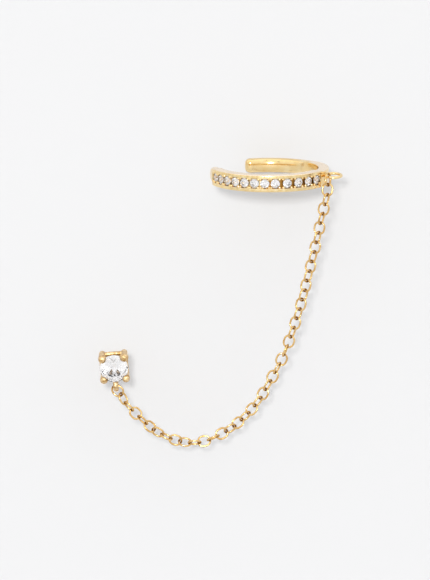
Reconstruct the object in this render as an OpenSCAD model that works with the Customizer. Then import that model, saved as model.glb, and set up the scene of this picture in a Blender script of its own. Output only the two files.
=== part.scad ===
// Ear chain earring: an open ear cuff with a row of small stones, a cable chain, and a
// four-prong stud. It hangs as worn: +Z is up, -Y is the side that is looked at, and the
// origin is where the back of the stud's setting sits on the ear lobe. Millimetres.

/* [Cuff] */
// Outer diameter of the cuff
cuff_d = 11.9; // [11.5:0.1:12.5]
// Thickness of the band, measured along the radius
band_t = 1.05; // [0.95:0.05:1.2]
// Height of the band where it holds the stones
band_h = 1.7; // [1.6:0.05:1.9]
// Height of the plain back of the band
shank_h = 1.46; // [1.3:0.02:1.56]
// Radius of the rounded edges of the plain back
edge_r = 0.2; // [0.1:0.05:0.3]
// Where the left arm ends, in degrees round from the front
left_end = -95; // [-100:1:-90]
// Where the back arm ends, in degrees round from the front
back_end = 206; // [195:1:210]

/* [Cuff stones] */
// How many stones sit in the channel
stone_count = 12; // [8:1:12]
// Girdle diameter of each small stone
stone_d = 0.93; // [0.85:0.01:0.95]
// Where the first stone sits, in degrees round from the front
first_stone = -68; // [-70:0.5:-66]
// Angle from stone to stone on the left, where they sit close
close_pitch = 10.5; // [10.4:0.1:10.8]
// Angle from stone to stone on the right, where they sit wider
wide_pitch = 12.1; // [11:0.1:12.2]
// The stone after which the wider pitch begins
pitch_change = 8; // [1:1:12]
// Depth of the channel that the stones sit in
channel_depth = 0.17; // [0.1:0.01:0.2]
// Width of the rail above and below the channel
rail_w = 0.22; // [0.15:0.01:0.25]
// Diameter of the grains that hold the stones
grain_d = 0.2; // [0.16:0.01:0.2]
// Diameter of the hole behind each stone
azure_d = 0.4; // [0.3:0.05:0.5]

/* [Eyelet] */
// Mean diameter of the eyelet soldered to the cuff
eyelet_d = 1.56; // [1.5:0.02:1.7]
// Wire of the eyelet
eyelet_wire = 0.3; // [0.25:0.01:0.32]
// Where the eyelet sits, in degrees round from the front
eyelet_angle = 70; // [68:0.5:72]
// Height of the eyelet above the middle of the band
eyelet_z = 0.24; // [0.1:0.02:0.3]
// How far the eyelet's front edge dips
eyelet_dip = 6.5; // [0:0.5:8]

/* [Chain] */
// How many links the chain has
link_count = 43; // [42:1:44]
// Length of a link, outside
link_l = 1.45; // [1.44:0.01:1.48]
// Width of a link, outside
link_w = 1.2; // [1.15:0.01:1.3]
// Wire of a link
link_wire = 0.17; // [0.14:0.01:0.18]
// How far each link is turned from the one before it
link_turn = 76; // [70:1:90]

/* [Stud] */
// Girdle diameter of the stud's stone
solitaire_d = 2.85; // [2.6:0.05:3]
// Height of the girdle above the back of the setting
girdle_z = 1.65; // [1.6:0.05:1.9]
// Distance of the prongs from the middle of the stone
prong_ring = 1.55; // [1.54:0.01:1.6]
// Diameter of a prong
prong_d = 0.7; // [0.68:0.02:0.74]
// Diameter of the ball that each prong ends in
prong_ball = 0.82; // [0.74:0.02:0.9]
// How far the ball's middle stands in front of the girdle
prong_rise = 0.05; // [0.04:0.01:0.35]
// Distance of the gallery bars from the middle of the stone
gallery_side = 1.2; // [1.18:0.01:1.2]
// Wire of the gallery bars
gallery_wire = 0.42; // [0.36:0.02:0.42]
// Height of the gallery bars above the back of the setting
gallery_z = 0.55; // [0.55:0.05:0.75]
// How far the setting is turned, seen from the front
stud_turn = 4.5; // [0:0.5:10]
// How far the front of the stud dips
stud_dip = 8.5; // [0:0.5:10]

/* [Stud back] */
// Width of the two bars across the back of the basket
bar_w = 0.6; // [0.4:0.05:0.7]
// Thickness of the bars and of the pad in their middle
bar_t = 0.3; // [0.25:0.05:0.4]
// Diameter of the pad that the post stands on
pad_d = 1.7; // [1.7:0.1:2]
// Diameter of the ear post
post_d = 0.7; // [0.6:0.05:0.75]
// Length of the ear post behind the setting
post_l = 7; // [6:0.5:10]
// How far the ear post stands below the middle of the setting
post_drop = 0.45; // [0:0.05:0.45]
// Mean diameter of the loop under the stud
loop_d = 1.04; // [1:0.02:1.1]
// Wire of the loop under the stud
loop_wire = 0.42; // [0.36:0.02:0.42]

/* [Hidden] */
// One node for each small stone, in order from the left end of the channel.
STONE_NODES = [
    "cuff_stone_01", "cuff_stone_02", "cuff_stone_03", "cuff_stone_04",
    "cuff_stone_05", "cuff_stone_06", "cuff_stone_07", "cuff_stone_08",
    "cuff_stone_09", "cuff_stone_10", "cuff_stone_11", "cuff_stone_12"
];

$fn = 64;

GOLD = [0.93, 0.74, 0.36];
STONE = [0.93, 0.94, 0.96, 0.6];

// Middle of the cuff, half way up the band.
cuff_at = [15.55, 2.84, 18.74];
cuff_r = cuff_d / 2;
band_mid_r = cuff_r - band_t / 2;

// Angle round the band that a rounded arm end takes up.
arm_end_r = band_t / 2 - 0.03;
arm_end_h = shank_h - 0.1;
cap_angle = asin(arm_end_r / band_mid_r);

// Ends of the channel, one end gap beyond the outer stones.
end_gap = 1.2;
stone_angle = 2 * asin(stone_d / cuff_d);
last_stone = stone_at(stone_count - 1);
channel_from = first_stone - stone_angle / 2 - end_gap;
channel_to = last_stone + stone_angle / 2 + end_gap;
channel_h = band_h - 2 * rail_w;
// The tall part of the band runs this far past each end of the channel.
channel_wall = 2.5;
tall_from = channel_from - channel_wall;
tall_to = channel_to + channel_wall;

// How far the plain stretches run into the tall part.
lap = 1;
// Steps in each rounded corner.
corner_steps = 4;

// Girdle of the small stones, a little behind the face of the band.
stone_r = stone_d / 2;
stone_seat = cuff_r - channel_depth;
// Room left round each stone.
seat_gap = 0.02;
// Grains stand at the four corners of each stone.
grain_side = 0.42;
grain_up = 0.42;
grain_out = 0.03;

// Proportions of a round brilliant, as shares of its radius.
table_share = 0.56;
crown_share = 0.32;
girdle_share = 0.05;
kite_share = 0.78;
pavilion_share = 0.86;
split_share = 0.22;
// Height of the kite corners between girdle and table, as a share of the radius.
kite_up = crown_share * (1 - kite_share * cos(22.5)) / (1 - table_share);

// Middle of the eyelet's ring, with its solder sunk into the band.
eyelet_sink = 0.1;
eyelet_reach = cuff_r + eyelet_d / 2 + eyelet_wire / 2 - eyelet_sink;
eyelet_at = cuff_at + eyelet_reach * [sin(eyelet_angle), -cos(eyelet_angle), 0]
    + [0, 0, eyelet_z];
// Where on the eyelet's wire the chain hangs, seen from above.
hook_angle = 226;
hook_at = eyelet_at + eyelet_d / 2 * [
    cos(hook_angle),
    sin(hook_angle) * cos(eyelet_dip),
    sin(hook_angle) * sin(eyelet_dip)
];

// The gallery bars end inside the prongs, clear of each other.
bar_end = gallery_side - gallery_wire / 2 - 0.02;

// The loop under the stud stands upright, its wire sunk into the lowest gallery bar.
loop_sink = 0.08;
loop_reach = gallery_side + gallery_wire / 2 + loop_d / 2 + loop_wire / 2 - loop_sink;
loop_at = from_stud([0, -loop_reach - loop_d / 2, gallery_z]);

// Points that the chain hangs through, between the eyelet and the loop.
// [x, y, z]
DRAPE = [
    [21.25, -0.48, 17.1],
    [20.8, -0.38, 15.15],
    [20.19, -0.26, 12.2],
    [19.5, -0.26, 9.3],
    [18.8, -0.26, 6.45],
    [17.95, -0.26, 3.6],
    [16.95, -0.26, 0.85],
    [15.6, -0.26, -1.8],
    [14.1, -0.26, -4.25],
    [12, -0.26, -6.35],
    [9.5, -0.26, -7.75],
    [7.6, -0.26, -8.05],
    [5.7, -0.26, -7.65],
    [3.95, -0.26, -6.7],
    [2.5, -0.26, -5.4],
    [1.2, -0.26, -4.05],
    [0.7, -0.26, -3.15]
];
// How the chain twists along its run.
// [link, degrees]
TWIST = [
    [0, 60],
    [4, 64],
    [8, 52],
    [12, 47],
    [16, 60],
    [18, 78],
    [22, 60],
    [28, 44],
    [30, 72],
    [32, 60],
    [33, 24],
    [35, -4],
    [36, 34],
    [37, 38],
    [38, 62],
    [40, 66],
    [41, 22],
    [42, 12]
];
// How far the links have slid down their run, where the chain hangs tight or slack.
// [link, millimetres]
SLIDE = [
    [0, 0],
    [12, 0.14],
    [23, 0.17],
    [30, 0.11],
    [36, 0.03],
    [42, 0]
];
// Clear room between wires that hang on each other.
hang_gap = 0.14;
// Steps of the curve between two points of the drape.
drape_steps = 8;

drape_knots = concat([hook_at], DRAPE, [loop_at]);
drape_curve = smooth_curve(drape_knots);
drape_run = running_length(drape_curve);
drape_length = drape_run[len(drape_run) - 1];
// From a link's middle to the middle of its end wire.
link_reach = (link_l - link_wire) / 2;
first_link = link_reach - (link_wire + eyelet_wire) / 2 - hang_gap;
last_link = drape_length - link_reach + (link_wire + loop_wire) / 2 + hang_gap;
link_pitch = (last_link - first_link) / (link_count - 1);

// Angle of a small stone round the band, counted from 0 at the left.
function stone_at(i) =
    first_stone + close_pitch * min(i, pitch_change - 1)
    + wide_pitch * max(0, i - pitch_change + 1);

// A point of the turned and dipped stud in the frame of the whole piece.
function from_stud(p) =
    let (
        x = p.x * cos(stud_turn) - p.y * sin(stud_turn),
        y = p.x * sin(stud_turn) + p.y * cos(stud_turn),
        tip = 90 + stud_dip
    )
    [x, y * cos(tip) - p.z * sin(tip), y * sin(tip) + p.z * cos(tip)];

// Points along one span of a curve through four points.
function span(a, b, c, d, t) =
    (2 * b + (c - a) * t + (2 * a - 5 * b + 4 * c - d) * t * t
    + (3 * b - a - 3 * c + d) * t * t * t) / 2;

// A smooth curve through all the points p.
function smooth_curve(p) =
    let (last = len(p) - 1)
    concat(
        [for (i = [0 : last - 1], k = [0 : drape_steps - 1])
            span(
                i > 0 ? p[i - 1] : 2 * p[0] - p[1],
                p[i],
                p[i + 1],
                i < last - 1 ? p[i + 2] : 2 * p[last] - p[last - 1],
                k / drape_steps
            )],
        [p[last]]
    );

// Length of the curve up to each of its points.
function running_length(p) = [
    for (i = 0, s = 0; i < len(p); i = i + 1, s = s + (i < len(p) ? norm(p[i] - p[i - 1]) : 0)) s
];

// The point at length s along the drape.
function on_drape(s) = [
    for (axis = [0 : 2])
        lookup(s, [for (i = [0 : len(drape_curve) - 1]) [drape_run[i], drape_curve[i][axis]]])
];

function unit(v) = v / norm(v);

// A point of a ring of n points of radius r at height z; turn is in steps of the ring.
function ring_points(n, r, z, turn = 0) = [
    for (i = [0 : n - 1]) [r * cos((i + turn) * 360 / n), r * sin((i + turn) * 360 / n), z]
];

// Turns what it holds to an angle round the cuff and out to a radius, with +Z outwards.
module on_cuff(angle, r) {
    translate(cuff_at)
        rotate([0, 0, angle])
            translate([0, -r, 0])
                rotate([90, 0, 0])
                    children();
}

// Turns a profile (radius, height) round the cuff from one angle to another.
module sweep(from, to) {
    translate(cuff_at)
        rotate([0, 0, from - 90])
            rotate_extrude(angle = to - from, $fn = 180)
                children();
}

// Points of a quarter round corner about a middle, from one angle on.
function corner_points(middle, r, from) = [
    for (i = [0 : corner_steps]) let (a = from + 90 * i / corner_steps)
        [middle.x + r * cos(a), middle.y + r * sin(a)]
];

// A rectangle between two radii with all corners rounded.
module rounded_rect(r_in, r_out, h, corner) {
    up = h / 2 - corner;
    polygon(concat(
        corner_points([r_out - corner, -up], corner, -90),
        corner_points([r_out - corner, up], corner, 0),
        corner_points([r_in + corner, up], corner, 90),
        corner_points([r_in + corner, -up], corner, 180)
    ));
}

// The rounded end of an arm, a little slimmer than the arm.
module arm_end(angle) {
    translate(cuff_at)
        rotate([0, 0, angle])
            translate([0, -band_mid_r, 0])
                cylinder(r = arm_end_r, h = arm_end_h, center = true, $fn = 48);
}

// The plain rounded back and the two arm ends.
module shank() {
    for (arc = [[left_end + cap_angle, tall_from + lap], [tall_to - lap, back_end - cap_angle]])
        sweep(arc[0], arc[1])
            rounded_rect(cuff_r - band_t, cuff_r, shank_h, edge_r);
    arm_end(left_end + cap_angle);
    arm_end(back_end - cap_angle);
}

// The tall part that holds the stones, with its sunk channel.
module stone_band() {
    difference() {
        sweep(tall_from, tall_to)
            translate([cuff_r - band_t, -band_h / 2])
                square([band_t, band_h]);
        sweep(channel_from, channel_to)
            translate([stone_seat, -channel_h / 2])
                square([2 * channel_depth, channel_h]);
    }
}

// The four grains round one stone.
module grains() {
    for (side = [-1, 1], up = [-1, 1])
        translate([side * grain_side, up * grain_up, grain_out])
            sphere(d = grain_d, $fn = 24);
}

// The room that a stone of girdle radius r takes up, turned round its axis.
module stone_room(r, tip_r) {
    rotate_extrude()
        polygon([
            [0, -r * pavilion_share - seat_gap],
            [tip_r, -r * pavilion_share - seat_gap],
            [r + seat_gap, -r * girdle_share - seat_gap],
            [r + seat_gap, seat_gap],
            [r * kite_share + seat_gap, r * kite_up + seat_gap],
            [r * table_share + seat_gap, r * crown_share + seat_gap],
            [0, r * crown_share + seat_gap]
        ]);
}

// The seat of a small stone and the hole behind it.
module cuff_seat() {
    stone_room(stone_r, azure_d / 4);
    translate([0, 0, -band_t])
        cylinder(h = band_t - azure_d / 2, d = azure_d);
}

// The small ring on the front right of the cuff that the chain hangs on.
module eyelet() {
    translate(eyelet_at)
        rotate([eyelet_dip, 0, 0])
            rotate_extrude($fn = 96)
                translate([eyelet_d / 2, 0])
                    circle(d = eyelet_wire, $fn = 32);
}

module cuff() {
    color(GOLD) {
        difference() {
            union() {
                shank();
                stone_band();
            }
            for (i = [0 : stone_count - 1])
                on_cuff(stone_at(i), stone_seat)
                    cuff_seat();
        }
        for (i = [0 : stone_count - 1])
            on_cuff(stone_at(i), stone_seat)
                grains();
        eyelet();
    }
}

// A round brilliant of girdle radius r, table towards +Z, girdle at z = 0.
module brilliant(r) {
    girdle_h = r * girdle_share;
    pavilion_h = r * pavilion_share;
    split_z = -girdle_h - (pavilion_h - girdle_h) * (1 - split_share * cos(22.5));
    // Rings of points from the table down: table, kite corners, girdle, split, culet.
    points = concat(
        ring_points(8, r * table_share, r * crown_share),
        ring_points(8, r * kite_share, r * kite_up, 0.5),
        ring_points(16, r, 0),
        ring_points(16, r, -girdle_h),
        ring_points(8, r * split_share, split_z, 0.5),
        [[0, 0, -pavilion_h]]
    );
    table = 0;
    kite = 8;
    top = 16;
    under = 32;
    split = 48;
    culet = 56;
    faces = concat(
        [[for (i = [7 : -1 : 0]) table + i]],
        [for (i = [0 : 7]) let (j = (i + 1) % 8)
            [table + i, table + j, kite + i]],
        [for (i = [0 : 7]) let (before = (i + 7) % 8)
            [table + i, kite + i, top + 2 * i, kite + before]],
        [for (i = [0 : 7])
            [kite + i, top + 2 * i + 1, top + 2 * i]],
        [for (i = [0 : 7]) let (next = (2 * i + 2) % 16)
            [kite + i, top + next, top + 2 * i + 1]],
        [for (i = [0 : 15]) let (j = (i + 1) % 16)
            [top + i, top + j, under + j, under + i]],
        [for (i = [0 : 7])
            [split + i, under + 2 * i, under + 2 * i + 1]],
        [for (i = [0 : 7]) let (next = (2 * i + 2) % 16)
            [split + i, under + 2 * i + 1, under + next]],
        [for (i = [0 : 7]) let (before = (i + 7) % 8)
            [culet, split + before, under + 2 * i, split + i]]
    );
    polyhedron(points, faces, convexity = 2);
}

module cuff_stone(i) {
    color(STONE)
        on_cuff(stone_at(i), stone_seat)
            brilliant(stone_r);
}

// One oval link lying in the XY plane, its length along X.
module link() {
    bend_r = (link_w - link_wire) / 2;
    side = link_l - link_w;
    for (end = [-1, 1])
        translate([end * side / 2, 0, 0])
            rotate([0, 0, end > 0 ? -90 : 90])
                rotate_extrude(angle = 180, $fn = 48)
                    translate([bend_r, 0])
                        circle(d = link_wire, $fn = 24);
    for (y = [-1, 1])
        translate([-side / 2, y * bend_r, 0])
            rotate([0, 90, 0])
                cylinder(h = side, d = link_wire, $fn = 24);
}

// Sets a link on the drape: its length along the chain, its face turned by the roll.
module hang_link(i) {
    middle = first_link + i * link_pitch + lookup(i, SLIDE);
    along = unit(on_drape(middle + link_pitch / 2) - on_drape(middle - link_pitch / 2));
    front = [0, -1, 0];
    face = unit(front - (front * along) * along);
    cross_way = cross(along, face);
    roll = (i % 2) * link_turn - lookup(i, TWIST);
    normal = face * cos(roll) + cross_way * sin(roll);
    width = cross(normal, along);
    at = on_drape(middle);
    multmatrix([
        [along.x, width.x, normal.x, at.x],
        [along.y, width.y, normal.y, at.y],
        [along.z, width.z, normal.z, at.z]
    ])
        link();
}

module chain() {
    color(GOLD)
        for (i = [0 : link_count - 1])
            hang_link(i);
}

// Turns the stud from its own frame, face up, to the way it hangs.
module stud_hang() {
    rotate([90 + stud_dip, 0, 0])
        rotate([0, 0, stud_turn])
            children();
}

// Four prongs with ball ends, cut flat at the back.
module prongs() {
    for (i = [0 : 3])
        rotate([0, 0, 45 + 90 * i])
            translate([prong_ring, 0, 0]) {
                cylinder(h = girdle_z + prong_rise, d = prong_d, $fn = 48);
                translate([0, 0, girdle_z + prong_rise])
                    sphere(d = prong_ball, $fn = 48);
            }
}

// The four bars that join the prongs behind the stone.
module gallery() {
    for (i = [0 : 3])
        rotate([0, 0, 90 * i])
            translate([-bar_end, gallery_side, gallery_z])
                rotate([0, 90, 0])
                    cylinder(h = 2 * bar_end, d = gallery_wire, $fn = 32);
}

// Two bars across the back and the pad in their middle.
module back_bars() {
    for (i = [0, 1])
        rotate([0, 0, 45 + 90 * i])
            translate([-prong_ring, -bar_w / 2, 0])
                cube([2 * prong_ring, bar_w, bar_t]);
    cylinder(h = bar_t, d = pad_d);
}

// The plain ear post with its rounded end, level and running back from the pad.
module ear_post() {
    root = bar_t / 2;
    straight = post_l - post_d / 2;
    translate([0, -root, -post_drop])
        rotate([-90, 0, 0]) {
            cylinder(h = straight + root, d = post_d);
            translate([0, 0, straight + root])
                sphere(d = post_d);
        }
}

// The loop under the gallery that takes the last link.
module stud_loop() {
    translate([0, -loop_reach, gallery_z])
        rotate([0, 90, 0])
            rotate_extrude($fn = 64)
                translate([loop_d / 2, 0])
                    circle(d = loop_wire, $fn = 32);
}

module stud_setting() {
    color(GOLD) {
        stud_hang() {
            difference() {
                union() {
                    prongs();
                    gallery();
                }
                translate([0, 0, girdle_z])
                    stone_room(solitaire_d / 2, seat_gap);
            }
            back_bars();
            stud_loop();
        }
        ear_post();
    }
}

module stud_stone() {
    color(STONE)
        stud_hang()
            translate([0, 0, girdle_z])
                brilliant(solitaire_d / 2);
}

cuff();
for (i = [0 : stone_count - 1])
    cuff_stone(i);
chain();
stud_setting();
stud_stone();
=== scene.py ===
"""Ear chain earring: an open cuff with a row of small stones, a cable chain and a stud.

Sizes are in millimetres, as in the part's own source. Each piece is modelled at that size
and brought down to metres as its last step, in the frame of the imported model: +Z is up,
-Y is the side that is looked at, and the origin is where the stud sits on the lobe.
"""

import logging
from collections.abc import Callable, Iterator
from contextlib import contextmanager
from dataclasses import dataclass
from enum import Enum
from math import asin, atan2, cos, degrees, hypot, pi, radians, sin, sqrt, tan
from typing import ClassVar

import bmesh
import bpy
import numpy as np
from mathutils import Matrix, Vector


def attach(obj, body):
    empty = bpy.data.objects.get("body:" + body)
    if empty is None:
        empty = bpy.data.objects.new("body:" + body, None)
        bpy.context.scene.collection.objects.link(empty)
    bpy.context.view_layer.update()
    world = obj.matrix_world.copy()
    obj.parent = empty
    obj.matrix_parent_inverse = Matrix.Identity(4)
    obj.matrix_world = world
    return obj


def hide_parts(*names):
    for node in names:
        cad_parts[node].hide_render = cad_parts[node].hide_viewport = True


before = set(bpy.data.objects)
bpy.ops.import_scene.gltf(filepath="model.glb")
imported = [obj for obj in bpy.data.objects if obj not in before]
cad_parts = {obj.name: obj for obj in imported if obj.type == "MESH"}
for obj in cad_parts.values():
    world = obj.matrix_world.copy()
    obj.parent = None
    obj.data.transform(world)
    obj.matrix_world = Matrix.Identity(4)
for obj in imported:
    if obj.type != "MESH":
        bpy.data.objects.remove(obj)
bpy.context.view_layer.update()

log = logging.getLogger("earring")

Pair = tuple[float, float]
Triple = tuple[float, float, float]
Colour = Triple
Rows = list[Pair]
Piece = bpy.types.Object
Material = bpy.types.Material
Tree = bpy.types.NodeTree
Node = bpy.types.Node
Socket = bpy.types.NodeSocket
Inputs = dict[str | int, float | tuple[float, ...] | Vector | Socket]

METRES = 0.001
SMOOTH_ANGLE = radians(38)
# How near to a line a corner lies that is on it.
NEAR = 1e-4
# Least upward share of the normal of a face that looks up.
UPWARD = 0.9
# Clear room between a stone and the metal that holds it.
SEAT_GAP = 0.02


class Part(Enum):
    """What is picked of a mesh in edit mode."""

    CORNER = "VERT"
    EDGE = "EDGE"
    FACE = "FACE"


class Shine(Enum):
    """The numbers of the cuff band's finishes, in the order of its material slots."""

    POLISHED = 0
    # Painted shade on the channel floor.
    DEEP = 1
    # Painted reflection: paler gold on the upper rim.
    RIM = 2
    FACE = 3


def fill_in(node: Node, inputs: Inputs) -> Node:
    """Sets a node's inputs, or joins them to the outputs of other nodes.

    Args:
        node: The node.
        inputs: A value or an output for each input that is named or numbered.

    Returns:
        The same node.
    """
    for name, value in inputs.items():
        if isinstance(value, Socket):
            node.id_data.links.new(value, node.inputs[name])
        else:
            node.inputs[name].default_value = value
    return node


def add_node(tree: Tree, kind: str, inputs: Inputs, **settings: str | bool) -> Node:
    """Adds a shader node.

    Args:
        tree: The nodes that it joins.
        kind: Its kind.
        inputs: A value or an output for each of its inputs that is set.
        settings: What else is set on it.

    Returns:
        The new node.
    """
    made = tree.nodes.new(f"ShaderNode{kind}")
    for name, value in settings.items():
        setattr(made, name, value)
    return fill_in(made, inputs)


def noise(tree: Tree, size: float, detail: float, grit: float = 0.5) -> Socket:
    """Adds a cloudy pattern that stays on the piece.

    Args:
        tree: The material's nodes.
        size: Size of its patches in millimetres.
        detail: How many finer layers it has.
        grit: How strong the finer layers are.

    Returns:
        The output that gives the pattern, from 0 to 1.
    """
    place = add_node(tree, "TexCoord", {}).outputs["Object"]
    scale = 1 / (size * METRES)
    inputs = {"Vector": place, "Scale": scale, "Detail": detail, "Roughness": grit}
    return add_node(tree, "TexNoise", inputs).outputs["Fac"]


def toned(tree: Tree, value: Socket, stops: list[tuple[float, Colour]]) -> Socket:
    """Turns a value to a colour.

    Args:
        tree: The nodes.
        value: The output that gives the value.
        stops: Values and their colours, in order.

    Returns:
        The output that gives the colour.
    """
    made = add_node(tree, "ValToRGB", {"Fac": value})
    steps = made.color_ramp.elements
    for place, _ in stops[1:-1]:
        steps.new(place)
    for step, (place, tone) in zip(steps, stops):
        step.position, step.color = place, (*tone, 1.0)
    return made.outputs["Color"]


def mixed(tree: Tree, share: Socket, under: Socket, over: Colour) -> Socket:
    """Gives a lower colour with a share of an upper one laid over it."""
    sides = {"Factor": share, "A": under, "B": (*over, 1.0)}
    return add_node(tree, "Mix", sides, data_type="RGBA").outputs["Result"]


@dataclass(frozen=True)
class Finish:
    """What every finish has: a name, and a material made from the shader's inputs."""

    name: str

    def inputs(self, tree: Tree) -> Inputs:
        """Gives what the shader is told, as each kind of finish says for itself."""
        raise NotImplementedError

    def material(self) -> Material:
        """Makes the finish.

        Returns:
            The new material.
        """
        made = bpy.data.materials.new(self.name)
        made.use_nodes = True
        fill_in(made.node_tree.nodes["Principled BSDF"], self.inputs(made.node_tree))
        return made


@dataclass(frozen=True)
class Gold(Finish):
    """Polished yellow gold with a faint change of tone and fine polishing marks.

    The tone and the gloss change over the size of a finger mark, and the marks are a fine
    bump. Where a shade is named, the gold is darkened by that value of the mesh: painted
    shade in the crevices where the chain's links cross.
    """

    tone: Colour
    light_tone: Colour
    tone_size: float
    gloss: Pair
    mark_size: float
    mark_depth: float
    shade: str = ""

    # The tone of the painted shade, a dark brown.
    painted_shade_tone: ClassVar[Colour] = (0.17, 0.06, 0.003)

    def inputs(self, tree: Tree) -> Inputs:
        """Works out the tone, the gloss and the marks.

        Args:
            tree: The material's nodes.

        Returns:
            What the shader is told.
        """
        patches = noise(tree, self.tone_size, 3.0, 0.55)
        colour = toned(tree, patches, [(0.34, self.tone), (0.68, self.light_tone)])
        low, high = self.gloss
        spread = {"From Min": 0.3, "From Max": 0.7, "To Min": low, "To Max": high}
        gloss = add_node(tree, "MapRange", {"Value": patches, **spread})
        marks = noise(tree, self.mark_size, 4.0)
        depth = self.mark_depth * METRES
        bump = add_node(tree, "Bump", {"Strength": 1.0, "Distance": depth, "Height": marks})
        surface = {
            "Base Color": colour,
            "Metallic": 1.0,
            "Roughness": gloss.outputs["Result"],
            "Normal": bump.outputs["Normal"],
        }
        return surface | self.painted_crevice_shade(tree, colour) if self.shade else surface

    def painted_crevice_shade(self, tree: Tree, colour: Socket) -> Inputs:
        """Works out the painted shade: matt dark places, where no metal shows from half the shade
        on.

        Args:
            tree: The material's nodes.
            colour: The output that gives the unshaded colour.

        Returns:
            What the shader is told differently.
        """
        shade = add_node(tree, "Attribute", {}, attribute_name=self.shade).outputs["Fac"]
        fall = {0: shade, 1: -2.0, 2: 1.0}
        unshaded_metal = add_node(tree, "Math", fall, operation="MULTIPLY_ADD", use_clamp=True)
        return {
            "Base Color": mixed(tree, shade, colour, self.painted_shade_tone),
            "Metallic": unshaded_metal.outputs["Value"],
            "Specular IOR Level": 0.0,
            "Specular Tint": (*self.light_tone, 1.0),
        }


@dataclass(frozen=True)
class Gem(Finish):
    """A clear, bright stone with a trace of clouding inside."""

    clear: Colour
    cloud: Colour
    cloud_size: float
    clearness: float
    bend: float

    def inputs(self, tree: Tree) -> Inputs:
        """Works out the clouding.

        Args:
            tree: The material's nodes.

        Returns:
            What the shader is told.
        """
        clouds = noise(tree, self.cloud_size, 2.0)
        return {
            "Base Color": toned(tree, clouds, [(0.35, self.cloud), (0.6, self.clear)]),
            "Roughness": 0.0,
            "IOR": self.bend,
            "Transmission Weight": self.clearness,
        }


@dataclass(frozen=True)
class Card(Finish):
    """Pale matt card for the floor and the wall, seen from its front only."""

    shade: Colour

    def inputs(self, tree: Tree) -> Inputs:
        """Gives the matt surface, which needs no nodes."""
        return {"Base Color": (*self.shade, 1.0), "Roughness": 0.9, "Specular IOR Level": 0.1}

    def material(self) -> Material:
        """Makes the finish, which is clear from behind.

        Returns:
            The new material.
        """
        made = super().material()
        tree = made.node_tree
        back = add_node(tree, "NewGeometry", {}).outputs["Backfacing"]
        front = tree.nodes["Principled BSDF"].outputs["BSDF"]
        clear = add_node(tree, "BsdfTransparent", {}).outputs["BSDF"]
        either = add_node(tree, "MixShader", {"Fac": back, 1: front, 2: clear})
        fill_in(tree.nodes["Material Output"], {"Surface": either.outputs["Shader"]})
        return made


BAND_GOLD = Gold(
    "band_gold", (0.86, 0.61, 0.27), (0.94, 0.75, 0.42), 1.6, (0.10, 0.19), 0.05, 0.0006
)
# Painted reflection: a paler, pinkish gold on the faces that look up.
RIM_SHEEN_GOLD = Gold(
    "rim_sheen_gold", (0.87, 0.70, 0.50), (0.93, 0.79, 0.61), 1.2, (0.18, 0.28), 0.05, 0.0006
)
FACE_GOLD = Gold(
    "face_gold", (0.84, 0.60, 0.27), (0.98, 0.81, 0.47), 0.3, (0.14, 0.26), 0.12, 0.004
)
# Painted shade: dark brown gold on the channel floor between the stones.
DEEP_SHADE_GOLD = Gold(
    "deep_shade_gold", (0.21, 0.085, 0.012), (0.50, 0.26, 0.06), 0.4, (0.28, 0.45), 0.06, 0.004
)
# The wire gold takes painted shade from the links' bend value, where they cross.
WIRE_GOLD = Gold(
    "wire_gold", (0.66, 0.40, 0.14), (0.86, 0.62, 0.29), 0.5, (0.16, 0.26), 0.05, 0.001, "bend"
)
CAST_GOLD = Gold(
    "cast_gold", (0.46, 0.25, 0.07), (0.94, 0.74, 0.44), 0.26, (0.30, 0.46), 0.3, 0.08
)
CLEAR_STONE = Gem("clear_stone", (1.0, 0.99, 0.985), (0.985, 0.96, 0.965), 0.6, 0.985, 2.05)
SMALL_STONE = Gem("small_stone", (1.0, 0.99, 0.99), (0.985, 0.955, 0.955), 0.25, 0.93, 2.05)
PALE_CARD = Card("pale_card", (0.63, 0.63, 0.634))


@dataclass(frozen=True)
class Flag:
    """A small dark spot in the bright room, as a photographer's black card makes it.

    Its direction is told as the camera sees it: to the right, upwards and nearer. It fades
    from its inner to its outer angle, in degrees.
    """

    way: Triple
    outer: float
    inner: float
    tone: Colour


FLAGS = [
    Flag((1.0, 0.0, 0.0), 14.0, 8.0, (0.30, 0.18, 0.08)),
    Flag((-1.0, 0.0, 0.0), 11.0, 6.0, (0.50, 0.35, 0.20)),
    Flag((-0.35, 0.30, 0.90), 4.0, 3.0, (0.10, 0.09, 0.08)),
    Flag((0.12, 0.50, 0.86), 4.0, 3.0, (0.10, 0.09, 0.08)),
]
# How bright the room is at each height, from 0 straight below to 1 overhead.
SKY_BANDS = [(0.0, 0.6), (0.45, 0.75), (0.55, 0.87), (0.8, 1.1), (0.93, 1.2), (0.999, 1.2)]
SKY_TINT = (0.993, 1.0, 1.01)
KEY_TINT = (1.0, 0.99, 0.975)


def turned(angle: float, axis: str) -> Matrix:
    """Gives a turn about an axis, by an angle in degrees."""
    return Matrix.Rotation(radians(angle), 4, axis)


def moved(x: float, y: float, z: float) -> Matrix:
    """Gives a move along the three axes."""
    return Matrix.Translation((x, y, z))


def take(piece: Piece) -> None:
    """Makes a piece the only one selected, and the active one.

    Args:
        piece: The piece to work on.
    """
    bpy.ops.object.select_all(action="DESELECT")
    piece.select_set(True)
    bpy.context.view_layer.objects.active = piece


@contextmanager
def editing(piece: Piece) -> Iterator[Piece]:
    """Opens a piece in edit mode with all of it selected, and closes it afterwards.

    Args:
        piece: The piece to edit.

    Yields:
        The same piece.
    """
    take(piece)
    bpy.ops.object.mode_set(mode="EDIT")
    bpy.ops.mesh.select_all(action="SELECT")
    yield piece
    bpy.ops.object.mode_set(mode="OBJECT")


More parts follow.
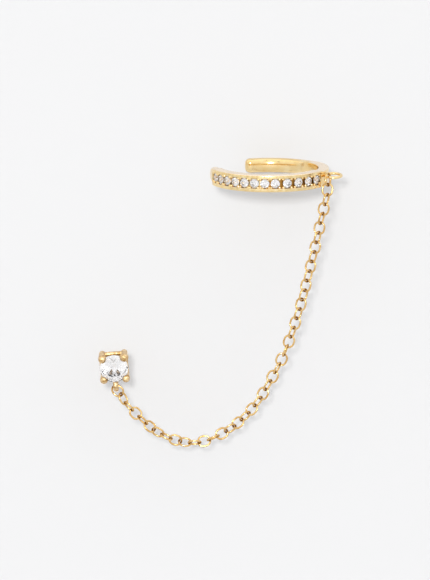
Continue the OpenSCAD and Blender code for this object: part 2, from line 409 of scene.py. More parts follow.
def pick(piece: Piece, part: Part, test: Callable[[Vector, Vector], bool]) -> None:
    """Selects in edit mode what passes a test of its place and its normal.

    Args:
        piece: The piece, which is in edit mode.
        part: Whether corners, edges or faces are picked.
        test: Takes a place and a normal. An edge is picked if both its ends pass.
    """
    bpy.ops.mesh.select_mode(type=part.value)
    bpy.ops.mesh.select_all(action="DESELECT")
    work = bmesh.from_edit_mesh(piece.data)
    if part is Part.FACE:
        found = [f for f in work.faces if test(f.calc_center_median(), f.normal)]
    elif part is Part.EDGE:
        found = [e for e in work.edges if all(test(c.co, c.normal) for c in e.verts)]
    else:
        found = [c for c in work.verts if test(c.co, c.normal)]
    for thing in found:
        thing.select_set(True)
    work.select_flush_mode()
    bmesh.update_edit_mesh(piece.data)


def draw_up(rings: Rows, at: float, radius: float) -> None:
    """Extrudes the selected face upwards through rings.

    Args:
        rings: Height and radius of each ring.
        at: Height of the face.
        radius: Radius of the face.
    """
    for level, wide in rings:
        bpy.ops.mesh.extrude_region_move(TRANSFORM_OT_translate={"value": (0, 0, level - at)})
        bpy.ops.transform.resize(value=(wide / radius, wide / radius, 1))
        at, radius = level, wide


def move_mesh(piece: Piece, place: Matrix) -> Piece:
    """Moves a piece's mesh to a place, and gives the piece back."""
    piece.data.transform(place)
    return piece


def settle(piece: Piece) -> None:
    """Applies a piece's location, turn and size, so that its place is in its mesh."""
    take(piece)
    bpy.ops.object.transform_apply(location=True, rotation=True, scale=True)


def wire_ring(across: float, wire: float, steps: tuple[int, int]) -> Piece:
    """Models a flat ring of wire, with its steps round the ring and round the wire."""
    bpy.ops.mesh.primitive_torus_add(
        major_segments=steps[0],
        minor_segments=steps[1],
        major_radius=across / 2,
        minor_radius=wire / 2,
    )
    return bpy.context.active_object


def copies(piece: Piece, places: list[Matrix]) -> list[Piece]:
    """Copies a piece to several places, each copy with its own mesh, and takes it away.

    Args:
        piece: The piece to copy.
        places: Where the copies' meshes go.

    Returns:
        The copies.
    """
    made = []
    for place in places:
        twin = piece.copy()
        twin.data = piece.data.copy()
        bpy.context.scene.collection.objects.link(twin)
        made.append(move_mesh(twin, place))
    bpy.data.objects.remove(piece)
    return made


def joined(pieces: list[Piece]) -> Piece:
    """Joins several pieces to one mesh.

    Args:
        pieces: The pieces to join.

    Returns:
        The joined piece.
    """
    take(pieces[0])
    for piece in pieces:
        piece.select_set(True)
    bpy.ops.object.join()
    return bpy.context.active_object


def cut(piece: Piece, cutter: Piece) -> None:
    """Cuts a tool's shape out of a piece and takes the tool away.

    Args:
        piece: The piece to cut.
        cutter: The closed tool.
    """
    take(piece)
    step = piece.modifiers.new("cut", "BOOLEAN")
    step.operation = "DIFFERENCE"
    step.solver = "EXACT"
    step.object = cutter
    bpy.ops.object.modifier_apply(modifier=step.name)
    bpy.data.objects.remove(cutter)


def face_outwards(piece: Piece) -> None:
    """Merges the doubled corners of a closed piece and turns its faces outwards."""
    with editing(piece):
        bpy.ops.mesh.remove_doubles(threshold=0.0005)
        bpy.ops.mesh.normals_make_consistent(inside=False)


def dress(piece: Piece, name: str, finishes: list[Material], node: str) -> None:
    """Names a piece, brings it down to metres, and gives it its finish and its body.

    Args:
        piece: The piece, in millimetres.
        name: Its name.
        finishes: Its materials, in the order that its faces number them.
        node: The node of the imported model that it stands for.
    """
    settle(piece)
    move_mesh(piece, Matrix.Scale(METRES, 4))
    piece.name = piece.data.name = name
    # Clearing the old materials also sets the faces' numbers back to 0.
    numbers = [face.material_index for face in piece.data.polygons]
    piece.data.materials.clear()
    for finish in finishes:
        piece.data.materials.append(finish)
    piece.data.polygons.foreach_set("material_index", numbers)
    take(piece)
    bpy.ops.object.shade_smooth_by_angle(angle=SMOOTH_ANGLE)
    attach(piece, "root")
    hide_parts(node)
    log.info("%s: %d faces", name, len(piece.data.polygons))


def smooth_step(value: float, low: float, high: float) -> float:
    """Rises smoothly from 0 at a low value to 1 at a high one."""
    share = min(1.0, max(0.0, (value - low) / (high - low)))
    return share * share * (3 - 2 * share)


def looked_up(key: float, rows: Rows) -> float:
    """Reads a table of keys and values, on a straight line between two of its rows."""
    return float(np.interp(key, *zip(*rows)))


@dataclass
class Cuff:
    """The open ear cuff: a band with a sunk channel, seats, grains and an eyelet."""

    centre: Vector
    outer_r: float = 5.95
    wall: float = 1.05
    tall: float = 1.7
    low: float = 1.46
    left_end: float = -95.0
    back_end: float = 206.0
    corner: float = 0.1
    side_cuts: int = 7
    rim_cuts: int = 3

    # How round the band is, and where along its back it turns from flat to round.
    roundness: float = 2.7
    flat_to: Pair = (112.0, 160.0)
    # How far an arm's end slims, the share of its height that it keeps, and how fast.
    end_run: float = 0.994
    end_keep: float = 0.3
    end_power: float = 0.9

    stone_count: int = 12
    stone_d: float = 0.93
    first_stone: float = -68.0
    close_pitch: float = 10.5
    wide_pitch: float = 12.1
    pitch_change: int = 8
    girdle_depth: float = 0.17

    # The drill behind a stone, its cone, and the room over the cone.
    azure_d: float = 0.4
    drill_end: float = 1.15
    cone_depth: float = 0.26
    cone_h: float = 0.24
    room_h: float = 0.5

    rail_w: float = 0.33
    end_gap: float = 1.2
    step_w: float = 2.5
    step_ease: Pair = (0.5, 1.5)
    lip_w: float = 0.015
    lip_depth: float = 0.012
    floor_w: float = 0.02
    floor_depth: float = 0.32

    grain_d: float = 0.3
    grain_side: float = 0.42
    grain_up: float = 0.43
    grain_lift: float = 0.005
    grain_foot: float = -0.02
    grain_spread: Triple = (1.12, 1.12, 2.4)

    eyelet_d: float = 1.56
    eyelet_wire: float = 0.3
    eyelet_angle: float = 70.0
    eyelet_z: float = 0.24
    eyelet_dip: float = 6.5
    eyelet_sink: float = 0.1
    hook_angle: float = 226.0
    solder_r: float = 0.19
    solder_out: float = 0.02
    solder_form: Triple = (1.35, 0.95, 0.8)

    # Limits of the finishes: in degrees, in depth under the outer face, and as the share of
    # a normal that points outwards, or upwards beside the stones and beyond them.
    # Angle from which the channel floor gets painted shade, on its right side only.
    shade_from: float = -6.0
    # Angle where the painted reflection on the upper rim ends.
    rim_sheen_to: float = 128.0
    past_end: float = 1.0
    inside: Pair = (0.06, 0.9)
    inside_edge: float = 0.04
    skin: float = 0.05
    floor_out: float = 0.97
    rim_up: Pair = (0.3, 0.85)

    @property
    def mid_r(self) -> float:
        """Radius of the middle of the wall."""
        return self.outer_r - self.wall / 2

    @property
    def cap_angle(self) -> float:
        """Angle that a rounded arm end takes up."""
        return degrees(asin(self.wall / 2 / self.mid_r))

    @property
    def rail(self) -> float:
        """Height of a rail's inner edge over the band's middle."""
        return self.tall / 2 - self.rail_w

    def stone_at(self, index: int) -> float:
        """Gives the degrees round from the front of a stone, counted from 0 at the left."""
        close = min(index, self.pitch_change - 1)
        return self.first_stone + self.close_pitch * close + self.wide_pitch * (index - close)

    @property
    def channel(self) -> Pair:
        """The two ends of the channel, in degrees round from the front."""
        reach = degrees(2 * asin(self.stone_d / 4 / self.outer_r)) + self.end_gap
        return self.stone_at(0) - reach, self.stone_at(self.stone_count - 1) + reach

    @property
    def seats(self) -> list[Matrix]:
        """The places of the stones' girdles, with +Z outwards."""
        seat = self.outer_r - self.girdle_depth
        return [self.on_band(self.stone_at(index), seat) for index in range(self.stone_count)]

    @property
    def eyelet_place(self) -> Matrix:
        """The place of the eyelet's ring."""
        reach = self.outer_r + self.eyelet_d / 2 + self.eyelet_wire / 2 - self.eyelet_sink
        turn = radians(self.eyelet_angle)
        off = Vector((reach * sin(turn), -reach * cos(turn), self.eyelet_z))
        return moved(*(self.centre + off)) @ turned(self.eyelet_dip, "X")

    @property
    def hook(self) -> Vector:
        """The middle of the eyelet's wire where the chain hangs on it."""
        turn = self.eyelet_place @ turned(self.hook_angle, "Z")
        return turn @ Vector((self.eyelet_d / 2, 0, 0))

    def on_band(self, angle: float, radius: float) -> Matrix:
        """Gives the place at an angle and a radius on the band, with +Z outwards."""
        place = moved(*self.centre) @ turned(angle, "Z")
        return place @ moved(0, -radius, 0) @ turned(90, "X")

    def profile(self) -> Piece:
        """Models the band's outline as a loop of edges, standing at the left arm's end.

        Returns:
            The outline.
        """
        bpy.ops.mesh.primitive_plane_add(size=1, rotation=(pi / 2, 0, 0))
        outline = bpy.context.active_object
        outline.scale = (self.wall, self.tall, 1)
        settle(outline)
        half, top = self.wall / 2, self.tall / 2
        with editing(outline):
            bpy.ops.mesh.bevel(affect="VERTICES", offset=self.corner, segments=4)
            for axis, off, cuts in ((0, half, self.side_cuts), (2, top, self.rim_cuts)):
                for side in (-off, off):
                    pick(outline, Part.EDGE, lambda at, _: abs(at[axis] - side) < NEAR)
                    bpy.ops.mesh.subdivide(number_cuts=cuts)
            work = bmesh.from_edit_mesh(outline.data)
            for side in (-half, half):
                on_side = [c for c in work.verts if abs(c.co.x - side) < NEAR]
                for step, corner in enumerate(sorted(on_side, key=lambda c: c.co.z)[1:-1]):
                    corner.co.z = self.rail * (2 * step / (self.side_cuts - 1) - 1)
            bmesh.update_edit_mesh(outline.data)
            bpy.ops.mesh.select_all(action="SELECT")
            bpy.ops.mesh.delete(type="ONLY_FACE")
        return move_mesh(outline, turned(self.left_end - 90, "Z") @ moved(self.mid_r, 0, 0))

    def swept(self) -> Piece:
        """Turns the outline round the cuff's axis, arc by arc, and closes both ends.

        Returns:
            The closed band, with its axis at the origin.
        """
        start, end = self.channel
        # Where each arc ends, in degrees, and its steps.
        arcs = [
            (self.left_end + self.cap_angle, 9),
            (start - self.step_w, 11),
            (start, 3),
            (end, 132),
            (end + self.step_w, 3),
            (self.back_end - self.cap_angle, 120),
            (self.back_end, 9),
        ]
        at = self.left_end
        with editing(self.profile()) as band:
            for stop, steps in arcs:
                turn = -radians(stop - at)
                bpy.ops.mesh.spin(steps=steps, angle=turn, center=(0, 0, 0), axis=(0, 0, 1))
                at = stop
            bpy.ops.mesh.select_mode(type="EDGE")
            bpy.ops.mesh.select_all(action="DESELECT")
            bpy.ops.mesh.select_non_manifold()
            bpy.ops.mesh.edge_face_add()
        return band

    def angle_of(self, at: Vector) -> float:
        """Gives degrees round from the front, -120 to 240, with the axis at the origin."""
        angle = degrees(atan2(at.x, -at.y))
        return angle + 360 if angle < -120 else angle

    def squareness_at(self, angle: float) -> float:
        """Says how far the band is the tall, square band that holds the stones.

        Args:
            angle: Degrees round from the front.

        Returns:
            1 along the channel, falling smoothly to 0 along the rounded arms.
        """
        start, end = self.channel
        near, far = self.step_ease
        rise = smooth_step(angle, start - self.step_w - far, start - near)
        fall = smooth_step(angle, end + near, end + self.step_w + far)
        return rise * (1 - fall)

    def shape_band(self, band: Piece) -> None:
        """Gives the swept band its height and rounds its two arm ends.

        Args:
            band: The swept band.
        """
        first, last = self.left_end + self.cap_angle, self.back_end - self.cap_angle
        power = self.roundness
        for corner in band.data.vertices:
            at = corner.co
            angle = self.angle_of(at)
            radius = hypot(at.x, at.y)
            beyond = max(first - angle, angle - last, 0) / self.cap_angle
            slim = 1.0
            if beyond > 0:
                run = self.end_run * sin(min(beyond, 1) * pi / 2)
                slim = sqrt(1 - run * run)
                side = self.cap_angle * run
                angle = first - side if angle < first else last + side
            square = self.squareness_at(angle)
            flat = square if angle < 0 else 1 - smooth_step(angle, *self.flat_to)
            out, up = (radius - self.mid_r) * 2 / self.wall, at.z * 2 / self.tall
            bulge = (abs(out) ** power + abs(up) ** power) ** (1 / power)
            ease = 1 / bulge + (1 - 1 / bulge) * flat
            height = self.low + (self.tall - self.low) * square
            kept = self.end_keep + (1 - self.end_keep) * slim**self.end_power
            radius = self.mid_r + out * ease * slim * self.wall / 2
            turn = radians(angle)
            lift = up * ease * height / 2 * kept
            corner.co = (radius * sin(turn), -radius * cos(turn), lift)

    def sink_channel(self, band: Piece) -> None:
        """Sinks the channel that holds the stones into the outer face.

        Args:
            band: The shaped band.
        """
        start, end = self.channel

        def in_channel(at: Vector, _: Vector) -> bool:
            """Says if a face lies on the outer wall between the rails."""
            on_wall = hypot(at.x, at.y) > self.outer_r - self.skin
            return start < self.angle_of(at) < end and abs(at.z) < self.rail and on_wall

        with editing(band):
            pick(band, Part.FACE, in_channel)
            bpy.ops.mesh.inset(thickness=self.lip_w, depth=-self.lip_depth)
            bpy.ops.mesh.inset(thickness=self.floor_w, depth=-self.floor_depth)

    def seat_cutter(self) -> Piece:
        """Models the tool that cuts the seats and the holes behind the stones.

        Returns:
            The tool, one closed shape for each stone.
        """
        hole, room = self.azure_d / 2, self.stone_d / 2 + SEAT_GAP
        length = self.drill_end - self.cone_depth
        bpy.ops.mesh.primitive_cylinder_add(vertices=40, radius=hole, depth=length)
        drill = bpy.context.active_object
        move_mesh(drill, moved(0, 0, -self.cone_depth - length / 2))
        rim = self.cone_h - self.cone_depth
        with editing(drill):
            pick(drill, Part.FACE, lambda _, normal: normal.z > UPWARD)
            draw_up([(rim, room), (rim + self.room_h, room)], -self.cone_depth, hole)
        return joined(copies(drill, self.seats))

    def grains(self) -> Piece:
        """Models the small grains that hold the stones, four to a stone.

        Returns:
            All the grains as one mesh.
        """
        size = self.grain_d / 2
        bpy.ops.mesh.primitive_uv_sphere_add(segments=14, ring_count=10, radius=size)
        with editing(bpy.context.active_object) as grain:
            pick(grain, Part.CORNER, lambda at, _: at.z < self.grain_foot)
            bpy.ops.transform.resize(value=self.grain_spread)
        places = [
            seat @ moved(side * self.grain_side, level * self.grain_up, self.grain_lift)
            for seat in self.seats
            for side in (-1, 1)
            for level in (-1, 1)
        ]
        return joined(copies(grain, places))

    def eyelet(self) -> Piece:
        """Models the soldered ring that the chain hangs on, with a fillet of solder.

        Returns:
            The ring and its fillet as one mesh.
        """
        ring = wire_ring(self.eyelet_d, self.eyelet_wire, (64, 20))
        move_mesh(ring, self.eyelet_place)
        bpy.ops.mesh.primitive_uv_sphere_add(segments=20, ring_count=14, radius=self.solder_r)
        with editing(bpy.context.active_object) as solder:
            bpy.ops.transform.resize(value=self.solder_form)
        root = self.on_band(self.eyelet_angle, self.outer_r + self.solder_out)
        return joined([ring, move_mesh(solder, root @ moved(0, self.eyelet_z, 0))])

    def shine_at(self, middle: Vector, normal: Vector) -> Shine:
        """Chooses the finish of a face of the band.

        Args:
            middle: The face's middle, with the cuff's axis at the origin.
            normal: The face's normal.

        Returns:
            The finish: polished, painted shade on the channel floor, a painted reflection that is
            paler on the upper rim, or worked on the rails and on the walls of the seats.
        """
        start, end = self.channel
        high, deep = self.inside
        beside, beyond = self.rim_up
        depth = self.outer_r - hypot(middle.x, middle.y)
        angle = self.angle_of(middle)
        along = start - self.past_end < angle < end + self.past_end
        outward = normal.xy.dot(middle.xy.normalized())
        if along and high < depth < deep and abs(middle.z) < self.rail + self.inside_edge:
            # The channel floor past that angle takes the painted shade.
            floor = angle > self.shade_from and outward > self.floor_out
            return Shine.DEEP if floor else Shine.FACE
        # Faces that look up, short of that angle, take the painted reflection.
        if angle < self.rim_sheen_to and normal.z > (beside if along else beyond):
            return Shine.RIM
        if along and depth < self.skin and abs(normal.z) < beside:
            return Shine.FACE
        return Shine.POLISHED

    def build(self, polished: Material) -> None:
        """Models and dresses the band, the grains and the eyelet.

        Args:
            polished: The polished gold.
        """
        band = self.swept()
        self.shape_band(band)
        face_outwards(band)
        self.sink_channel(band)
        move_mesh(band, moved(*self.centre))
        cut(band, self.seat_cutter())
        for face in band.data.polygons:
            face.material_index = self.shine_at(face.center - self.centre, face.normal).value
        others = [finish.material() for finish in (DEEP_SHADE_GOLD, RIM_SHEEN_GOLD, FACE_GOLD)]
        dress(band, "cuff_band", [polished, *others], "cuff")
        dress(self.grains(), "cuff_grains", [polished], "cuff")
        dress(self.eyelet(), "cuff_eyelet", [polished], "cuff")


@dataclass
class Stud:
    """The four-prong stud: claws, gallery bars, crossed bars, pad, ear post and loop."""

    girdle_z: float = 1.65
    stone_d: float = 2.85
    # The stone's underside and girdle, as shares of its radius.
    pavilion: float = 0.86
    girdle: float = 0.05
    tip_r: float = 0.03

    claw_ring: float = 1.55
    claw_d: float = 0.7
    claw_tip: float = 0.82
    claw_rise: float = 0.05
    # How far under the girdle a claw's head starts to differ, and differs fully.
    head_span: Pair = (0.7, 0.2)

    rail_side: float = 1.2
    rail_wire: float = 0.42
    rail_swell: float = 0.1
    rail_z: float = 0.55
    turn: float = 4.5
    dip: float = 8.5

    bar_w: float = 0.6
    bar_t: float = 0.3
    bar_edge: float = 0.05
    pad_d: float = 1.7
    post_d: float = 0.7
    post_l: float = 7.0
    post_drop: float = 0.45
    post_steps: int = 8

    loop_d: float = 1.04
    loop_wire: float = 0.42
    loop_sink: float = 0.08
    loop_flat: float = 1.25

    # Heights and widths of a claw's stem, and of its head from the head's middle.
    stem: ClassVar[Rows] = [(0.1, 1.0), (0.9, 1.02)]
    head: ClassVar[Rows] = [
        (-0.5, 0.95), (-0.22, 1.0), (0.0, 1.0), (0.17, 0.93), (0.3, 0.7), (0.385, 0.36),
    ]
    # Heights over the girdle and widths of the stone's top, as shares of its radius.
    crown: ClassVar[Rows] = [(0.0, 1.0), (0.2, 0.78), (0.32, 0.56)]
    # How each claw's head differs from the even one: its width, its height and its shift.
    heads: ClassVar[list[Triple]] = [
        (1.12, 1.02, 0.0), (1.0, 1.06, 0.0), (0.98, 0.98, 0.0), (0.97, 1.0, 0.02),
    ]

    @property
    def hang(self) -> Matrix:
        """Turns the stud from its own frame, face up, to the way it hangs."""
        return turned(90 + self.dip, "X") @ turned(self.turn, "Z")

    @property
    def loop_reach(self) -> float:
        """Distance of the loop's middle from the stud's axis."""
        reach = self.rail_side + (self.rail_wire + self.loop_d + self.loop_wire) / 2
        return reach - self.loop_sink

    @property
    def loop_bottom(self) -> Vector:
        """The lowest point of the loop's wire, which the chain hangs on."""
        return self.hang @ Vector((0, -self.loop_reach - self.loop_d / 2, self.rail_z))

    def claws(self) -> Piece:
        """Models the four claws with their rounded tips, cut to the stone.

        Returns:
            The four claws as one mesh.
        """
        radius, tip = self.claw_d / 2, self.claw_tip / 2
        middle = self.girdle_z + self.claw_rise
        rings = [(level, radius * share) for level, share in self.stem]
        rings += [(middle + level, tip * share) for level, share in self.head]
        bpy.ops.mesh.primitive_circle_add(vertices=20, radius=radius, fill_type="NGON")
        with editing(bpy.context.active_object) as claw:
            draw_up(rings, 0.0, radius)
        face_outwards(claw)
        round_off = claw.modifiers.new("round", "SUBSURF")
        round_off.levels = round_off.render_levels = 2
        bpy.ops.object.modifier_apply(modifier=round_off.name)
        spots = [turned(angle, "Z") @ moved(self.claw_ring, 0, 0) for angle in range(45, 360, 90)]
        made = copies(claw, spots)
        self.work_over(made)
        four = joined(made)
        cut(four, self.stone_room())
        return four

    def work_over(self, claws: list[Piece]) -> None:
        """Gives each claw's head its own size, as pressed over the stone by hand.

        Args:
            claws: The claws in their places, counted from the right one above.
        """
        low, high = (self.girdle_z - depth for depth in self.head_span)
        for claw, (wide, tall, shift) in zip(claws, self.heads):
            corners = claw.data.vertices
            middle = sum((corner.co for corner in corners), Vector()) / len(corners)
            for corner in corners:
                share = smooth_step(corner.co.z, low, high)
                off = corner.co - middle
                corner.co.x += share * (off.x * (wide - 1) + shift)
                corner.co.y += share * off.y * (tall - 1)

    def stone_room(self) -> Piece:
        """Models the room that the stone takes up between the claws.

        Returns:
            The closed tool.
        """
        r = self.stone_d / 2
        base = r * self.pavilion + SEAT_GAP
        rings = [(base - r * self.girdle - SEAT_GAP, r + SEAT_GAP)]
        rings += [(base + r * up + SEAT_GAP, r * share + SEAT_GAP) for up, share in self.crown]
        bpy.ops.mesh.primitive_circle_add(vertices=64, radius=self.tip_r, fill_type="NGON")
        with editing(bpy.context.active_object) as room:
            draw_up(rings, 0.0, self.tip_r)
        move_mesh(room, moved(0, 0, self.girdle_z - base))
        face_outwards(room)
        return room

    def gallery(self) -> Piece:
        """Models the four bars that join the claws behind the stone.

        Returns:
            The four bars as one mesh.
        """
        radius = self.rail_wire / 2
        length = 2 * (self.rail_side - radius - SEAT_GAP)
        bpy.ops.mesh.primitive_cylinder_add(vertices=24, radius=radius, depth=length)
        with editing(bpy.context.active_object) as bar:
            bpy.ops.mesh.subdivide(number_cuts=5)
        for corner in bar.data.vertices:
            share = 1 - (corner.co.z * 2 / length) ** 2
            if corner.co.xy.length > radius / 2:
                corner.co.xy *= 1 + self.rail_swell * share
        lay = moved(0, self.rail_side, self.rail_z) @ turned(90, "Y")
        return joined(copies(bar, [turned(angle, "Z") @ lay for angle in range(0, 360, 90)]))

    def back(self) -> Piece:
        """Models the two crossed bars and the pad that the post stands on.

        Returns:
            The bars and the pad as one mesh.
        """
        lift = moved(0, 0, self.bar_t / 2)
        bpy.ops.mesh.primitive_cube_add(size=1)
        bar = bpy.context.active_object
        bar.scale = (2 * self.claw_ring, self.bar_w, self.bar_t)
        settle(bar)
        bars = copies(bar, [turned(angle, "Z") @ lift for angle in (45, 135)])
        bpy.ops.mesh.primitive_cylinder_add(vertices=48, radius=self.pad_d / 2, depth=self.bar_t)
        made = [*bars, move_mesh(bpy.context.active_object, lift)]
        for piece in made:
            with editing(piece):
                bpy.ops.mesh.bevel(offset=self.bar_edge, segments=3, affect="EDGES")
        return joined(made)

    def loop(self) -> Piece:
        """Models the loop under the gallery that takes the last link.

        Returns:
            The loop.
        """
        with editing(wire_ring(self.loop_d, self.loop_wire, (48, 20))) as ring:
            bpy.ops.transform.resize(value=(1, 1, self.loop_flat))
        return move_mesh(ring, moved(0, -self.loop_reach, self.rail_z) @ turned(90, "Y"))

    def post(self) -> Piece:
        """Models the level ear post with its rounded end.

        Returns:
            The post, in the frame of the whole earring.
        """
        radius, root = self.post_d / 2, self.bar_t / 2
        straight = self.post_l - radius
        leans = [pi / 2 * step / self.post_steps for step in range(1, self.post_steps)]
        bpy.ops.mesh.primitive_cylinder_add(vertices=32, radius=radius, depth=straight + root)
        post = move_mesh(bpy.context.active_object, moved(0, 0, (straight - root) / 2))
        with editing(post):
            pick(post, Part.FACE, lambda _, normal: normal.z > UPWARD)
            dome = [(radius * sin(lean), radius * cos(lean)) for lean in leans]
            draw_up(dome, 0.0, radius)
        return move_mesh(post, moved(0, 0, -self.post_drop) @ turned(-90, "X"))

    def build(self, polished: Material) -> None:
        """Models and dresses every piece of the setting.

        Args:
            polished: The polished gold.
        """
        cast = CAST_GOLD.material()
        for name, piece, gold in (
            ("stud_claws", self.claws(), cast),
            ("stud_gallery", self.gallery(), cast),
            ("stud_back", self.back(), polished),
            ("stud_loop", self.loop(), cast),
        ):
            dress(move_mesh(piece, self.hang), name, [gold], "stud_setting")
        dress(self.post(), "stud_post", [polished], "stud_setting")


@dataclass
class Chain:
    """The cable chain that hangs between the eyelet and the stud's loop."""

    top: Vector
    bottom: Vector
    hang_wires: Pair
    link_count: int = 43
    link_l: float = 1.45
    link_w: float = 1.2
    wire: float = 0.17
    shown_l: float = 1.41
    shown_wire: float = 0.19
    link_turn: float = 76.0
    hang_gap: float = 0.14
    steps: int = 8

    # Where a link's bend has painted shade, dark where the next link passes: inwards from the
    # wire's middle, as shares of the wire, and across the link.
    painted_shade_in: Pair = (-0.8, -0.3)
    painted_shade_across: Pair = (0.11, 0.24)

    # Points that the chain hangs through, between the eyelet and the loop.
    drape: ClassVar[list[Triple]] = [
        (21.25, -0.48, 17.1), (20.8, -0.38, 15.15), (20.19, -0.26, 12.2), (19.5, -0.26, 9.3),
        (18.8, -0.26, 6.45), (17.95, -0.26, 3.6), (16.95, -0.26, 0.85), (15.6, -0.26, -1.8),
        (14.1, -0.26, -4.25), (12.0, -0.26, -6.35), (9.5, -0.26, -7.75), (7.6, -0.26, -8.05),
        (5.7, -0.26, -7.65), (3.95, -0.26, -6.7), (2.5, -0.26, -5.4), (1.2, -0.26, -4.05),
        (0.7, -0.26, -3.15),
    ]
    # How the chain twists along its run: link and degrees.
    twist: ClassVar[Rows] = [
        (0, 60), (4, 64), (8, 52), (12, 47), (16, 60), (18, 78), (22, 60), (28, 44),
        (30, 72), (32, 60), (33, 24), (35, -4), (36, 34), (37, 38), (38, 62), (40, 66),
        (41, 22), (42, 12),
    ]
    # How far the links have slid down the curve: link and distance.
    slide: ClassVar[Rows] = [(0, 0), (12, 0.14), (23, 0.17), (30, 0.11), (36, 0.03), (42, 0)]

    def curve(self) -> list[Vector]:
        """Draws the smooth curve that the chain hangs along.

        Returns:
            Its points, from the eyelet to the loop.
        """
        knots = [self.top, *(Vector(knot) for knot in self.drape), self.bottom]
        padded = [2 * knots[0] - knots[1], *knots, 2 * knots[-1] - knots[-2]]
        points = []
        for a, b, c, d in zip(padded, padded[1:], padded[2:], padded[3:]):
            for step in range(self.steps):
                t = step / self.steps
                bend = (2 * a - 5 * b + 4 * c - d) * t * t + (3 * b - a - 3 * c + d) * t * t * t
                points.append((2 * b + (c - a) * t + bend) / 2)
        return [*points, knots[-1]]

    def link(self) -> Piece:
        """Models one oval link lying flat, its length along X.

        Returns:
            The link.
        """
        across = self.link_w - self.shown_wire
        half = (self.shown_l - self.link_w) / 2
        with editing(wire_ring(across, self.shown_wire, (40, 12))) as link:
            for end in (-1, 1):
                pick(link, Part.CORNER, lambda at, _: at.x * end > NEAR)
                bpy.ops.transform.translate(value=(end * half, 0, 0))
        # The bend value is painted shade on the inner side of each bend, where the next link
        # passes.
        low, high = (share * self.wire for share in self.painted_shade_in)
        bend = link.data.attributes.new(WIRE_GOLD.shade, "FLOAT", "POINT")
        for corner in link.data.vertices:
            out = Vector((max(abs(corner.co.x) - half, 0), corner.co.y))
            inner = smooth_step(across / 2 - out.length, low, high)
            near = 1 - smooth_step(abs(corner.co.y), *self.painted_shade_across)
            bend.data[corner.index].value = inner * near
        return link

    def places(self) -> list[Matrix]:
        """Works out where each link hangs.

        Returns:
            The place of each link, from the eyelet down.
        """
        points = self.curve()
        run = [0.0]
        for before, after in zip(points, points[1:]):
            run.append(run[-1] + (after - before).length)

        def on_curve(length: float) -> Vector:
            """Gives the point at a length along the curve."""
            return Vector([np.interp(length, run, axis) for axis in zip(*points)])

        reach = (self.link_l - self.wire) / 2
        first = reach - (self.wire + self.hang_wires[0]) / 2 - self.hang_gap
        last = run[-1] - reach + (self.wire + self.hang_wires[1]) / 2 + self.hang_gap
        pitch = (last - first) / (self.link_count - 1)
        front = Vector((0, -1, 0))
        found = []
        for index in range(self.link_count):
            middle = first + index * pitch + looked_up(index, self.slide)
            along = (on_curve(middle + pitch / 2) - on_curve(middle - pitch / 2)).normalized()
            face = (front - front.dot(along) * along).normalized()
            across = along.cross(face)
            roll = radians((index % 2) * self.link_turn - looked_up(index, self.twist))
            normal = face * cos(roll) + across * sin(roll)
            turn = Matrix((along, normal.cross(along), normal)).transposed().to_4x4()
            found.append(Matrix.Translation(on_curve(middle)) @ turn)
        return found

    def build(self) -> None:
        """Models one link, hangs its copies and dresses the chain."""
        links = copies(self.link(), self.places())
        dress(joined(links), "chain_links", [WIRE_GOLD.material()], "chain")


@dataclass
class Stones:
    """The cut stones, which keep their own faceted solids."""

    small: int = 12

    def build(self) -> None:
        """Gives the stud's stone and the small stones their finish."""
        clear, little = CLEAR_STONE.material(), SMALL_STONE.material()
        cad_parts["stud_stone"].material_slots[0].material = clear
        for index in range(1, self.small + 1):
            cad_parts[f"cuff_stone_{index:02d}"].material_slots[0].material = little
        log.info("stones: %d", self.small + 1)


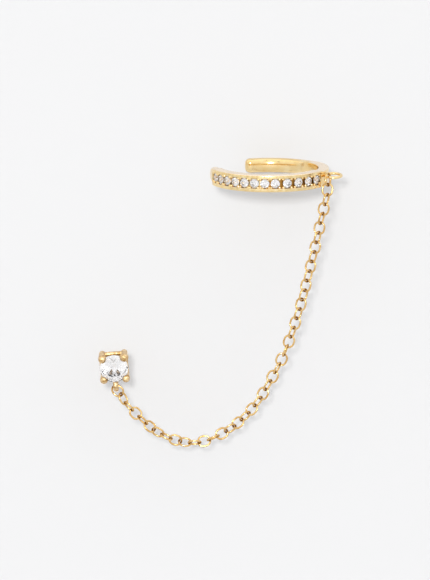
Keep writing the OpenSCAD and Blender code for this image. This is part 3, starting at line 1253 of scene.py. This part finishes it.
@dataclass
class Studio:
    """The pale floor and wall, the light and the camera."""

    target: Vector
    rise: float = 10.5
    lens: float = 500.0
    sensor: float = 36.0
    frame_h: float = 58.0

    wall_gap: float = 7.3
    floor_z: float = -60.0
    bend_run: float = 30.0
    bend_steps: int = 24
    sweep_w: float = 1400.0
    wall_h: float = 200.0

    # The key light: right, up and nearer as the camera sees it, its side and its watts.
    key_place: Triple = (-66.0, 76.0, 1200.0)
    key_side: float = 90.0
    key_power: float = 6.2
    # The room's strength, and what the camera sees past the card.
    fill: float = 1.13
    behind: Colour = (0.905, 0.905, 0.905)

    @property
    def forward(self) -> Vector:
        """The way the camera looks."""
        lean = radians(self.rise)
        return Vector((0, cos(lean), -sin(lean)))

    @property
    def upward(self) -> Vector:
        """The camera's upward side."""
        lean = radians(self.rise)
        return Vector((0, sin(lean), cos(lean)))

    def seen_at(self, right: float, up: float, near: float) -> Vector:
        """Turns a way that is told as the camera sees it to the scene's own axes."""
        return Vector((right, 0, 0)) + self.upward * up - self.forward * near

    def camera(self) -> None:
        """Puts up the camera at the photograph's angle, far off with a long lens."""
        data = bpy.data.cameras.new("camera")
        data.lens, data.sensor_width = self.lens, self.sensor
        data.clip_start, data.clip_end = 0.02, 10.0
        seen = bpy.data.objects.new("camera", data)
        bpy.context.scene.collection.objects.link(seen)
        away = self.frame_h * self.lens / self.sensor
        seen.location = (self.target - self.forward * away) * METRES
        seen.rotation_euler = self.forward.to_track_quat("-Z", "Y").to_euler()
        bpy.context.scene.camera = seen

    def sweep(self) -> None:
        """Models the floor and the leaning wall behind the earring as one bent card."""
        low = (self.floor_z - self.wall_gap * self.forward.z) / self.upward.z
        foot = self.forward * self.wall_gap + self.upward * low
        front, half = foot.y - self.bend_run, self.sweep_w / 2
        bpy.ops.mesh.primitive_plane_add(size=1)
        card = bpy.context.active_object
        card.scale = (2 * half, half, 1)
        card.location = (self.target.x, front - half / 2, self.floor_z)
        settle(card)
        whole = radians(90 - self.rise)
        step = 2 * self.bend_run / tan(whole / 2) * sin(whole / self.bend_steps / 2)
        turns = [whole * (index + 0.5) / self.bend_steps for index in range(self.bend_steps)]
        moves = [Vector((0, cos(turn), sin(turn))) * step for turn in turns]
        with editing(card):
            pick(card, Part.EDGE, lambda at, _: at.y > front - half / 2)
            for move in (*moves, self.upward * self.wall_h):
                bpy.ops.mesh.extrude_region_move(TRANSFORM_OT_translate={"value": tuple(move)})
        bpy.ops.object.shade_smooth()
        move_mesh(card, Matrix.Scale(METRES, 4))
        card.name = "studio_sweep"
        card.data.materials.append(PALE_CARD.material())

    def key_light(self) -> None:
        """Puts up the soft light that throws the shadows, far off and above on the left."""
        data = bpy.data.lights.new("key", "AREA")
        data.size = self.key_side * METRES
        data.energy = self.key_power
        data.color = KEY_TINT
        lamp = bpy.data.objects.new("key", data)
        bpy.context.scene.collection.objects.link(lamp)
        off = self.seen_at(*self.key_place)
        lamp.location = (self.target + off) * METRES
        lamp.rotation_euler = (-off).to_track_quat("-Z", "Y").to_euler()

    def sky(self) -> None:
        """Fills the room with soft light, brighter from above, with a few dark flags."""
        world = bpy.data.worlds.new("studio")
        bpy.context.scene.world = world
        world.use_nodes = True
        tree = world.node_tree
        way = add_node(tree, "TexCoord", {}).outputs["Generated"]
        tilt = add_node(tree, "SeparateXYZ", {"Vector": way}).outputs["Z"]
        height = add_node(tree, "MapRange", {"Value": tilt, "From Min": -1.0})
        bands = [(at, tuple(level * part for part in SKY_TINT)) for at, level in SKY_BANDS]
        shade = toned(tree, height.outputs["Result"], bands)
        for flag in FLAGS:
            aim = self.seen_at(*flag.way).normalized()
            toward = add_node(tree, "VectorMath", {0: way, 1: aim}, operation="DOT_PRODUCT")
            span = {
                "Value": toward.outputs["Value"],
                "From Min": cos(radians(flag.outer)),
                "From Max": cos(radians(flag.inner)),
            }
            stand = add_node(tree, "MapRange", span).outputs["Result"]
            shade = mixed(tree, stand, shade, flag.tone)
        room = fill_in(tree.nodes["Background"], {"Color": shade, "Strength": self.fill})
        plain = add_node(tree, "Background", {"Color": (*self.behind, 1.0)})
        ray = add_node(tree, "LightPath", {}).outputs["Is Camera Ray"]
        sides = {"Fac": ray, 1: room.outputs["Background"], 2: plain.outputs["Background"]}
        either = add_node(tree, "MixShader", sides)
        fill_in(tree.nodes["World Output"], {"Surface": either.outputs["Shader"]})

    def build(self) -> None:
        """Sets up the whole studio."""
        self.camera()
        self.sweep()
        self.key_light()
        self.sky()
        bpy.context.scene.view_settings.view_transform = "Standard"


def main() -> None:
    """Builds the earring and the studio, in order."""
    logging.basicConfig(level=logging.INFO, format="%(message)s")
    polished = BAND_GOLD.material()
    cuff = Cuff(centre=Vector((15.55, 2.84, 18.74)))
    cuff.build(polished)
    stud = Stud()
    stud.build(polished)
    Chain(cuff.hook, stud.loop_bottom, (cuff.eyelet_wire, stud.loop_wire)).build()
    Stones().build()
    Studio(target=Vector((10.1, -0.139, 7.484))).build()


if __name__ == "__main__":
    main()
